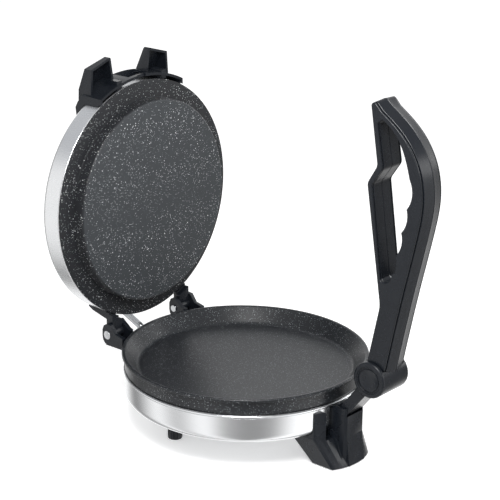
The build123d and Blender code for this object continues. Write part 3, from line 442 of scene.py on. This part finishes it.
def makePan(p):
    # cast dish: groove over the drum's bead, outside wall, a lip that overhangs it, a rounded rim and a sloping wall
    # down to the floor
    under = p["floorZ"] - p["floorWall"]
    inGroove = p["wall"] - p["groove"]
    lipZ = p["rimTop"] - p["lip"]
    outline = [(0, under), (p["floorRadius"] + p["floorWall"], under), (p["skirt"], p["hollow"]),
               (p["skirt"], p["skirtZ"]), (inGroove, p["skirtZ"]), (inGroove, p["grooveTop"] - p["grooveSlope"]),
               (p["wall"], p["grooveTop"]), (p["wall"], lipZ - p["lipSlope"]), (p["rim"], lipZ),
               (p["rim"], p["rimTop"]),
               (p["rim"] - p["land"], p["rimTop"]), (p["floorRadius"], p["floorZ"]), (0, p["floorZ"])]
    radii = [0, 1, 1, 0.4, 0.1, 0.2, 0.5, 0.6, 0.6, p["rimRound"], p["landRound"], p["floorRound"], 0]
    turnedPiece("pan", roundCorners(outline, radii, 9), "base", "nonstick_coating", ["lower_plate"], fine,
                place=(0, drumY / mm, 0))


makeDrum(drum)
makePan(pan)
print("drum and pan")


# lid and press plate, worked out shut and then turned open

hinge = np.array(joints["lid_hinge"]["pos_m"]) / mm
openTurn = -math.radians(joints["lid_hinge"]["range_deg"][1])


def opened(points):
    # from where the shut lid would lie to the open lid: a turn about the hinge axis
    c, s = math.cos(openTurn), math.sin(openTurn)
    q = points - hinge
    return np.stack([q[:, 0], q[:, 1] * c - q[:, 2] * s, q[:, 1] * s + q[:, 2] * c], 1) + hinge


lid = {"radius": 127.5, "rimZ": 84.6, "top": 112.1, "corner": 6.0, "wall": 0.8, "beadRadius": 0.9, "edge": 1.9,
       "flange": 8.0, "flangeZ": 87.9}
plate = {"reach": 128.4, "rimZ": 84.6, "edge": 1.6, "thickness": 3.0, "disc": 109.2, "faceZ": 70.0, "faceRound": 2.6,
         "inside": 125.5, "foot": 0.9, "paintedLightInset": 1.2}
# the lid's sheet is polished the other way and less bright
lidSteelLook = dict(steelLook, roughness=0.27, stretch=(1, 0.02, 0.02))


def makeLid(d):
    # drawn dish with a rounded crown edge, and a bead rolled at its mouth
    r, w, b = d["radius"], d["wall"], d["beadRadius"]
    low = d["rimZ"] + d["edge"]
    outline = [(0, d["top"] - w), (r - w, d["top"] - w), (r - w, d["flangeZ"] + w), (r - d["flange"], d["flangeZ"] + w),
               (r - d["flange"], d["flangeZ"]), (r - w, d["flangeZ"]), (r - w, low), (r + b, low), (r + b, low + 2 * b),
               (r, low + 2 * b), (r, d["top"]), (0, d["top"])]
    radii = [0, d["corner"] - w, 0.1, 0.2, 0.2, 0.1, 0.2, b - 0.05, b - 0.05, 0.2, d["corner"], 0]
    turnedPiece("lid_dish", roundCorners(outline, radii, 9), "lid", "stainless_steel", ["lid_shell"], fine,
                place=(0, drumY / mm, 0), turn=opened, finish=rolledMetal("satin stainless lid", lidSteelLook))


def makePlate(p):
    # cast plate whose pressing disc stands proud of its flat rim
    t = p["thickness"]
    outline = [(0, p["faceZ"]), (p["disc"], p["faceZ"]), (p["disc"], p["rimZ"]), (p["reach"], p["rimZ"]),
               (p["reach"], p["rimZ"] + p["edge"]), (p["inside"], p["rimZ"] + p["edge"]), (p["inside"], p["rimZ"] + t),
               (p["disc"] - t, p["rimZ"] + t), (p["disc"] - t, p["faceZ"] + t), (0, p["faceZ"] + t)]
    radii = [0, p["faceRound"], p["foot"], 0.6, 0.5, 0.2, 0.2, 0.8, 0.8, 0]
    centre = opened(np.array([[0, drumY / mm, p["faceZ"]]]))[0] * mm
    # the disc that gets the paler painted-light ground, inset from the disc's edge
    pale = centre, (p["disc"] - p["paintedLightInset"]) * mm
    coating = nonStickCoating("speckled non-stick on a painted_lit_disc press plate", discLook, pale)
    turnedPiece("press_plate", roundCorners(outline, radii, 9), "lid", "nonstick_coating", ["upper_plate"], fine,
                place=(0, drumY / mm, 0), turn=opened, finish=coating)


makeLid(lid)
makePlate(plate)
print("lid and press plate")


# handle

barrelAxis = np.array(joints["handle_fold"]["pos_m"]) / mm
handle = {"half": 16.5, "crown": 3.2, "crownStart": 3.5, "crownFade": 9.0, "seam": 0.05, "seamCut": 0.55, "trim": 2.0,
          "groove": 1.3, "grooveDepth": 2.0, "grooveEdge": 0.25, "trimStep": (0.2, 0.3, 0.05), "edgeRound": 1.1,
          "sideCut": 0.5, "sharp": 28, "barrel": 18.9, "slotAngle": 139.5, "hub": 14.0}
# side view, (y, z) from the barrel axis: the outer edge runs up the crest, round the beak and down the inner edge
crest = [(-15.5, 15.6), (-31.0, 93.0), (-45.5, 159.0), (-49.8, 190.0), (-42.5, 228.0), (-24.0, 254.0), (1.0, 272.6)]
beak = [(1.0, 272.6), (6.6, 278.4), (10.4, 279.8), (12.9, 276.4)]
inner = {"points": [(3.2, 219.0), (14.2, 200.0), (-6.2, 79.0), (6.0, 18.4)], "radii": [9, 9, 30, 2],
         "root": (4.0, 12.0), "rootAngle": 71.5}
loopBack = [(-1.0, 265.0), (-14.5, 254.7), (-26.5, 236.5), (-34.4, 213.0)]
loop = {"topFinger": (-38.0, 199.0), "firstCusp": (-32.4, 183.3), "lastCusp": (-17.6, 110.5), "fingers": 3,
        "depth": 3.3, "floor": (-11.0, 103.9), "corner": (-4.2, 107.5),
        "front": [(8.9, 199.0), (-3.2, 217.0), (4.9, 261.0)], "frontRadii": [7, 8, 2.5]}


def crestRows(grow):
    # the crest and beak pushed outwards by grow along their own normals; the push fades out round the beak
    line = np.vstack([smoothThrough(crest, 60), arcThrough(*beak[1:], 9)])
    along = unit(np.gradient(line, axis=0))
    outwards = np.stack([-along[:, 1], along[:, 0]], 1)
    fade = np.clip((line[:, 0].max() - line[:, 0]) / handle["crownFade"], 0, 1)[:, None]
    line = line + grow * outwards * fade
    # the first stretch runs on until it meets the barrel's skin: |p + t d| = radius, the smaller t
    down = unit(line[0] - line[3])
    b = line[0] @ down
    t = -b - math.sqrt(max(b * b - line[0] @ line[0] + handle["barrel"] ** 2, 0.0)) if b < 0 else 0.0
    return line[0] + max(t, 0.0) * down, line


def outerOutline(grow):
    # closed outline of one cross-section: tongue on the barrel, crest, beak, inner edge, neck root
    foot, line = crestRows(grow)
    start, end = math.atan2(foot[1], foot[0]), math.radians(handle["slotAngle"])
    angle = np.linspace(end, start, 8)
    tongue = handle["barrel"] * np.stack([np.cos(angle), np.sin(angle)], 1)
    neck = foot + (line[0] - foot) * np.linspace(0.1, 0.9, 6)[:, None]
    steps = 9
    edge = roundCorners([beak[-1]] + inner["points"] + [inner["root"]], [0] + inner["radii"] + [0], steps)[steps:-steps]
    root = [handle["hub"] * np.array([math.cos(a), math.sin(a)]) for a in (math.radians(inner["rootAngle"]), end)]
    return np.vstack([tongue, neck, line, edge, root])


def loopOutline():
    # finger loop: a smooth back, an arc over the top, one arc for each finger, an arc below and a straight front
    d = loop
    back = smoothThrough(loopBack, 24)
    top = arcThrough(loopBack[-1], d["topFinger"], d["firstCusp"], 9)
    first, last = np.array(d["firstCusp"]), np.array(d["lastCusp"])
    step = (last - first) / d["fingers"]
    scallops = [arcThrough(first + i * step, first + (i + 0.5) * step - (d["depth"], 0), first + (i + 1) * step, 11)
                for i in range(d["fingers"])]
    floor = arcThrough(d["lastCusp"], d["floor"], d["corner"], 11)
    steps = 7
    front = roundCorners([d["corner"]] + d["front"] + [loopBack[0]], [0] + d["frontRadii"] + [2], steps)[steps:-steps]
    return np.vstack([back[:-1], top[:-1], *[s[:-1] for s in scallops], floor[:-1], front])


def outwardOf(line):
    # unit normals of a closed outline, on its right-hand side when walked clockwise
    along = unit(np.roll(line, -1, 0) - np.roll(line, 1, 0))
    turn = np.sum(line[:, 0] * np.roll(line[:, 1], -1) - np.roll(line[:, 0], -1) * line[:, 1])
    return np.stack([along[:, 1], -along[:, 0]], 1) * np.sign(turn)


def sectionRows(d):
    # (x, crown share, inset) from the seam out: seam chamfer, crowned skin, groove, trim plate with a rounded edge,
    # flat side; the crown's share falls by 1 - x / half, and the rounded edge is a quarter circle
    half, edge, cut = d["half"], d["grooveEdge"], d["grooveDepth"]
    trimIn = half - d["trim"]
    grooveIn = trimIn - d["groove"]
    stepX, stepIn, stepOut = d["trimStep"]
    rows = [(d["seam"], 1.0, d["seamCut"]), (d["seam"] + d["seamCut"], 1.0, 0.0)]
    rows += [(x, 1 - x / half, 0.0) for x in np.linspace(d["crownStart"], grooveIn - edge, 5)]
    rows += [(grooveIn, 1 - grooveIn / half, edge), (grooveIn, 0.0, cut), (trimIn, 0.0, cut), (trimIn, 0.0, stepIn),
             (trimIn + stepX, 0.0, stepOut)]
    rows += [(half - d["edgeRound"] * (1 - math.sin(a)), 0.0, d["edgeRound"] * (1 - math.cos(a)))
             for a in np.linspace(0, np.pi / 2, 6)]
    return rows + [(half, 0.0, d["edgeRound"] + d["sideCut"])]


def handleHalf(d):
    # two grids, the skin and the loop's wall: every row is the outline of its section, moved in by the row's inset
    skin, hole = [], []
    opening = loopOutline()
    openingOut = outwardOf(opening)
    rows = sectionRows(d)
    for x, crown, inset in rows:
        ring = outerOutline(d["crown"] * crown)
        ring = ring - outwardOf(ring) * inset
        wall = opening + openingOut * inset
        skin.append(np.column_stack([np.full(len(ring), x), ring]))
        hole.append(np.column_stack([np.full(len(wall), x), wall]))
    n, m = len(skin[0]), len(opening)
    faces = np.vstack([gridFaces(len(rows), n, False, True), gridFaces(len(rows), m, False, True, start=len(rows) * n)])
    # the seam face and the flat side each lie between a skin ring and a loop ring
    rings = [[[row * n + k for k in range(n)], [len(rows) * n + row * m + k for k in range(m)]]
             for row in (0, len(rows) - 1)]
    return np.vstack(skin + hole), faces, rings


def makeHandle(d):
    points, faces, rings = handleHalf(d)
    for name, side in (("handle_half_right", 1), ("handle_half_left", -1)):
        placed = points * (side, 1, 1) + barrelAxis
        piece = closedObject(name, placed, faces, d["sharp"], materials["black_plastic"], rings)
        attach(piece, "handle")
        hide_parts("handle_right" if side > 0 else "handle_left")


makeHandle(handle)
print("handle")


# barrel caps, conduit, pins and feet

cap = {"outside": 21.2, "radius": 14.2, "thickness": 3.0, "rim": 1.3, "groove": 1.5, "grooveDepth": 1.3, "dish": 1.6,
       "dishDrop": 0.2, "ringSlope": 0.1, "dishSlope": 0.3, "steps": 96}


def makeCaps(d):
    # dished disc inside a raised ring, with a groove between the ring and the dish,
    # and the dish's depth goes by 1 - s^2, s being the share of its radius
    out = d["outside"]
    inside, bottom = out - d["thickness"], out - d["grooveDepth"]
    ringIn = d["radius"] - d["rim"]
    dishEdge = ringIn - d["groove"]
    s = np.linspace(1, 0, 14)
    dish = np.stack([dishEdge * s, out - d["dishDrop"] - d["dish"] * (1 - s ** 2)], 1)
    outline = [(0, inside), (d["radius"], inside), (d["radius"], out), (ringIn, out), (ringIn - d["ringSlope"], bottom),
               (dishEdge + d["dishSlope"], bottom), (dishEdge, out - d["dishDrop"])]
    profile = np.vstack([roundCorners(outline, [0, 0.2, 0.5, 0.4, 0.3, 0.3, 0.4], 6), dish[1:]])
    for side, name in ((1, "right"), (-1, "left")):
        turnedPiece("barrel_end_" + name, profile * (1, side), "arm", "black_plastic", ["barrel_cap_" + name],
                    d["steps"], "x", barrelAxis)


makeCaps(cap)

conduitRoute = {"radius": 3.8, "x": -10.0, "mouth": (120.2, 117.6), "insert": 3.8, "drop": 0.5, "turn": 66.0,
                "bend": 14.0, "run": 22.5, "foot": 7.0, "steps": 90, "sides": 32}


def tubeAlong(path, radius, steps, sides):
    # round tube: a circle set square to the path at even steps, its two directions carried along without a twist
    s = np.concatenate([[0], np.cumsum(np.linalg.norm(np.diff(path, axis=0), axis=1))])
    even = np.linspace(0, s[-1], steps)
    line = np.stack([np.interp(even, s, path[:, k]) for k in range(3)], 1)
    along = unit(np.gradient(line, axis=0))
    across = np.tile([1.0, 0.0, 0.0], (steps, 1))
    up = np.cross(along, across)
    angle = np.arange(sides) * 2 * np.pi / sides
    ring = np.cos(angle)[None, :, None] * across[:, None] + np.sin(angle)[None, :, None] * up[:, None]
    return line[:, None] + radius * ring


def makeConduit(d):
    # straight, bend, straight, bend back, straight, all in one plane of x, from the housing on the lid to the base
    start = opened(np.array([[d["x"], d["mouth"][0] + drumY / mm, d["mouth"][1]]]))[0, 1:]
    turn = math.radians(d["turn"])
    angle = np.linspace(0, turn, 16)
    arc = d["bend"] * np.stack([np.cos(angle) - 1, -np.sin(angle)], 1)
    arcBack = arc[-1] - arc[::-1]
    heading = np.array([-math.sin(turn), -math.cos(turn)])
    first = start - (0, d["drop"]) + arc
    second = first[-1] + d["run"] * heading + arcBack
    line = np.vstack([start + (0, d["insert"]), first, second, second[-1] - (0, d["foot"])])
    path = np.column_stack([np.full(len(line), d["x"]), line])
    rows, sides = d["steps"], d["sides"]
    skin = tubeAlong(path, d["radius"], rows, sides)
    points = np.vstack([skin.reshape(-1, 3), skin[0].mean(0), skin[-1].mean(0)])
    # each end is closed by triangles from its middle to its ring
    k, middle = np.arange(sides), np.full(sides, rows * sides)
    after, last = (k + 1) % sides, (rows - 1) * sides
    ends = np.vstack([np.stack([middle, after, k], 1), np.stack([middle + 1, last + k, last + after], 1)])
    faces = gridFaces(rows, sides, False, True).tolist() + ends.tolist()
    piece = finishPiece("conduit_tube", points, faces, None, "conduit_steel", ["conduit"], 40)
    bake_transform(piece)


pin = {"bar": 2.5, "head": 4.8, "headThick": 1.3, "dome": 0.75, "tail": 3.7, "tailThick": 1.4, "tailCut": 0.2,
       "dimple": 1.5, "dimpleDepth": [(0.8, 0.15), (0.4, 0.4), (0, 0.45)], "steps": 64}


def makePins(d):
    # hinge pins: a bar with a flat tail and a domed head, closed over in the middle by a shallow dimple
    for side, name in ((1, "right"), (-1, "left")):
        low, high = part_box("hinge_pin_" + name)
        inner, outer = sorted((abs(low.x) / mm, abs(high.x) / mm))
        neck = outer - d["headThick"]
        a = np.linspace(0, np.pi / 2, 8)
        crown = np.stack([d["dimple"] + (d["head"] - d["dimple"]) * np.cos(a), outer - d["dome"] * (1 - np.sin(a))], 1)
        dimple = [(share * d["dimple"], outer - depth) for share, depth in d["dimpleDepth"]]
        cut, tailEnd = d["tailCut"], inner + d["tailThick"]
        bar = [(0, inner), (d["tail"] - cut, inner), (d["tail"], inner + cut), (d["tail"], tailEnd),
               (d["bar"], tailEnd), (d["bar"], neck), (d["head"], neck)]
        turnedPiece("hinge_pin_head_" + name, np.vstack([bar, crown, dimple]) * (1, side), "base",
                    slotOf["hinge_pin_" + name], ["hinge_pin_" + name], d["steps"], "x", (0, hinge[1], hinge[2]))


foot = {"low": 7.7, "high": 8.5, "height": 32.3, "bore": 1.85, "recess": 3.7, "recessHeight": 6.0, "flutes": 20,
        "fluteDepth": 0.45, "fluteFrom": 7.2, "fluteFade": 0.5, "fluteRise": 4, "rows": (0.15, 0.5, 0.85)}


def makeFeet(d):
    # tapered round foot with flutes: the radius dips by the cosine of flutes times the angle where the cone is free
    low, high, height, steps = d["low"], d["high"], d["height"], 6
    outline = [(d["recess"], 0), (low, 0), (high, height), (d["bore"], height), (d["bore"], d["recessHeight"]),
               (d["recess"], d["recessHeight"])]
    profile = roundCorners(outline, [0.2, 1.0, 0.4, 0.1, 0.1, 0.1], steps)
    cone = [(low + (high - low) * t, height * t) for t in d["rows"]]
    profile = np.vstack([profile[:2 * steps], cone, profile[2 * steps:]])
    grid = turnedGrid(profile, d["flutes"] * 8)
    radius = np.linalg.norm(grid[..., :2], axis=-1, keepdims=True)
    angle = np.arctan2(grid[..., 1:2], grid[..., :1])
    free = np.clip((radius - d["fluteFrom"]) / d["fluteFade"], 0, 1) * np.clip(grid[..., 2:] / d["fluteRise"], 0, 1)
    dip = d["fluteDepth"] * free * (0.5 + 0.5 * np.cos(d["flutes"] * angle))
    grid[..., :2] *= 1 - dip / radius
    faces = gridFaces(len(profile), grid.shape[1], True, True)
    for name in ("foot_left", "foot_right", "foot_rear"):
        low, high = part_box(name)
        finishPiece(name + "_fluted", grid, faces, "base", slotOf[name], [name], 40,
                    ((low.x + high.x) / 2 / mm, (low.y + high.y) / 2 / mm, low.z / mm))


makeConduit(conduitRoute)
makePins(pin)
makeFeet(foot)
# node and the width of its rounded edges in mm
for node, width in (("arm", 0.9), ("front_leg", 0.9), ("front_bracket", 0.8), ("base_hinge_left", 0.8),
                    ("base_hinge_right", 0.8), ("lid_hinge_left", 0.7), ("lid_hinge_right", 0.7),
                    ("conduit_gland", 0.8), ("conduit_socket", 0.8)):
    softened(node, node + "_part", width)
print("small pieces")


# camera, floor and light

# angles in degrees, lens and sensor in mm, place in mm from the drum's axis, clip in metres
view = {"azimuth": -50.3935, "elevation": 19.5886, "roll": 0.9458, "lens": 136.57, "sensor": 36, "clip": 50,
        "place": (-1417.5, -1176.7, 850.9)}


def makeCamera(v):
    # the camera's axes are the view direction, the level right and their cross product, turned by the roll
    az, el, roll = (math.radians(v[k]) for k in ("azimuth", "elevation", "roll"))
    back = Vector((math.sin(az) * math.cos(el), -math.cos(az) * math.cos(el), math.sin(el)))
    right = Vector((math.cos(az), math.sin(az), 0))
    up = back.cross(right)
    side = right * math.cos(roll) + up * math.sin(roll)
    top = up * math.cos(roll) - right * math.sin(roll)
    data = bpy.data.cameras.new("camera")
    data.sensor_width = v["sensor"]
    data.lens = v["lens"]
    data.clip_end = v["clip"]
    camera = bpy.data.objects.new("camera", data)
    bpy.context.scene.collection.objects.link(camera)
    turn = Matrix((side, top, back)).transposed().to_4x4()
    camera.matrix_world = Matrix.Translation(Vector(v["place"]) * mm + Vector((0, drumY, 0))) @ turn
    bpy.context.scene.camera = camera


def rayShare(tree):
    # 1 for mirror and see-through rays, and the light path that says so
    path = addNode(tree, "ShaderNodeLightPath", {})
    share = addNode(tree, "ShaderNodeMath", {"operation": "MAXIMUM"},
                    [(0, path.outputs["Is Glossy Ray"]), (1, path.outputs["Is Transmission Ray"])])
    return path, share.outputs[0]


def mixedShader(tree, share, first, second):
    return addNode(tree, "ShaderNodeMixShader", {}, [(0, share), (1, first.outputs[0]), (2, second.outputs[0])])


def makeFloor(f):
    # a square sheet far wider than the view; the camera sees it white where it is lit and darker in the shadow,
    # and mirror rays pass through it to the studio behind
    size = f["reach"]
    mesh = bpy.data.meshes.new("floor")
    mesh.from_pydata([(-size, -size, 0), (size, -size, 0), (size, size, 0), (-size, size, 0)], [], [(0, 1, 2, 3)])
    floor = bpy.data.objects.new("floor", mesh)
    bpy.context.scene.collection.objects.link(floor)
    material = bpy.data.materials.new("white floor")
    material.use_nodes = True
    tree = material.node_tree
    tree.nodes.clear()
    path, mirrored = rayShare(tree)
    matt = addNode(tree, "ShaderNodeBsdfDiffuse", {"Color": (f["grey"], f["grey"], f["grey"], 1)})
    lift = addNode(tree, "ShaderNodeMath", {"operation": "MULTIPLY", 1: f["lift"]},
                   [(0, path.outputs["Is Camera Ray"])])
    glow = addNode(tree, "ShaderNodeEmission", {}, [("Strength", lift.outputs[0])])
    seen = addNode(tree, "ShaderNodeAddShader", {}, [(0, matt.outputs[0]), (1, glow.outputs[0])])
    through = addNode(tree, "ShaderNodeBsdfTransparent", {})
    surface = mixedShader(tree, mirrored, seen, through)
    addNode(tree, "ShaderNodeOutputMaterial", {}, [("Surface", surface.outputs[0])])
    mesh.materials.append(material)


def makeWorld(w):
    # white for the camera and even light for the object; mirror rays see a ring of soft screens round it, whose
    # brightness goes by the compass direction atan2(x, -y) low down, evens out higher up and ends in a white ceiling
    world = bpy.data.worlds.new("studio")
    bpy.context.scene.world = world
    world.use_nodes = True
    tree = world.node_tree
    tree.nodes.clear()
    gain = 2.0  # a ramp's colours stop at 1, so levels are stored divided by this
    grey = lambda level: (level / gain,) * 3 + (1.0,)
    way = addNode(tree, "ShaderNodeTexCoord", {})
    axes = addNode(tree, "ShaderNodeSeparateXYZ", {}, [("Vector", way.outputs["Generated"])])
    front = addNode(tree, "ShaderNodeMath", {"operation": "MULTIPLY", 1: -1.0}, [(0, axes.outputs["Y"])])
    compass = addNode(tree, "ShaderNodeMath", {"operation": "ARCTAN2"}, [(0, axes.outputs["X"]), (1, front.outputs[0])])
    share = ranged(tree, compass.outputs[0], {"From Min": -math.pi, "From Max": math.pi})
    screens = addNode(tree, "ShaderNodeValToRGB", {}, [("Fac", share)])
    ramp = screens.color_ramp
    ramp.interpolation = "B_SPLINE"
    for angle, level in w["screens"]:
        ramp.elements.new((angle + 180) / 360).color = grey(level)
    for end in (ramp.elements[0], ramp.elements[-1]):
        end.color = grey(w["behind"])
    sky = screens.outputs["Color"]
    above = tuple(c * w["above"] / gain for c in w["tint"]) + (1.0,)
    for low, high, colour in (("low", "high", above), ("topLow", "topHigh", grey(w["ceiling"]))):
        height = ranged(tree, axes.outputs["Z"], {"From Min": w[low], "From Max": w[high]})
        sky = addNode(tree, "ShaderNodeMix", {"data_type": "RGBA", 7: colour}, [(0, height), (6, sky)]).outputs[2]
    mirror = addNode(tree, "ShaderNodeBackground", {"Strength": gain}, [("Color", sky)])
    path, mirrored = rayShare(tree)
    fill = addNode(tree, "ShaderNodeBackground", {"Color": (1, 1, 1, 1), "Strength": w["fill"]})
    white = addNode(tree, "ShaderNodeBackground", {"Color": (1, 1, 1, 1), "Strength": 1.0})
    seen = mixedShader(tree, path.outputs["Is Camera Ray"], mixedShader(tree, mirrored, fill, mirror), white)
    addNode(tree, "ShaderNodeOutputWorld", {}, [("Surface", seen.outputs[0])])


def areaLight(name, place, aim, size, power):
    data = bpy.data.lights.new(name, "AREA")
    data.shape = "RECTANGLE"
    data.size, data.size_y = size
    data.energy = power
    light = bpy.data.objects.new(name, data)
    bpy.context.scene.collection.objects.link(light)
    turn = (Vector(aim) - Vector(place)).to_track_quat("-Z", "Y")
    light.matrix_world = Matrix.Translation(Vector(place)) @ turn.to_matrix().to_4x4()


floorLook = {"grey": 0.95, "lift": 0.42, "reach": 6.0}
# screens are (compass direction in degrees, brightness); heights are the sine of the elevation
studio = {"fill": 0.62, "behind": 0.3, "above": 0.62, "tint": (0.97, 0.99, 1.03), "low": 0.28, "high": 0.5,
          "ceiling": 0.65, "topLow": 0.72, "topHigh": 0.9,
          "screens": [(-168, 0.35), (-150, 1.1), (-137, 1.3), (-120, 0.55), (-104, 0.95), (-87, 1.5), (-70, 0.5),
                      (-45, 0.34), (-22, 0.42), (-5, 1.35), (12, 1.6), (30, 1.5), (46, 0.3), (62, 0.25), (76, 0.8),
                      (92, 1.0), (112, 1.7), (128, 0.9), (142, 1.25), (158, 1.2), (174, 0.4)]}
# name, place and aim in metres, size in metres, watts
lamps = [("key", (-0.5, -0.32, 0.82), (-0.05, 0.13, 0.25), (0.35, 0.35), 8.0),
         ("side", (1.76, -0.98, 0.85), (0.03, -0.12, 0.2), (0.55, 0.9), 7.0),
         ("right", (0.9, -1.85, 0.85), (0.0, -0.12, 0.1), (0.8, 0.55), 6.0),
         ("front", (-1.45, -1.6, 1.15), (0, 0, 0.2), (1.3, 0.45), 7.0)]
makeCamera(view)
makeFloor(floorLook)
makeWorld(studio)
for lamp in lamps:
    areaLight(*lamp)
bpy.context.scene.view_settings.view_transform = "Standard"
print("camera, floor and light")
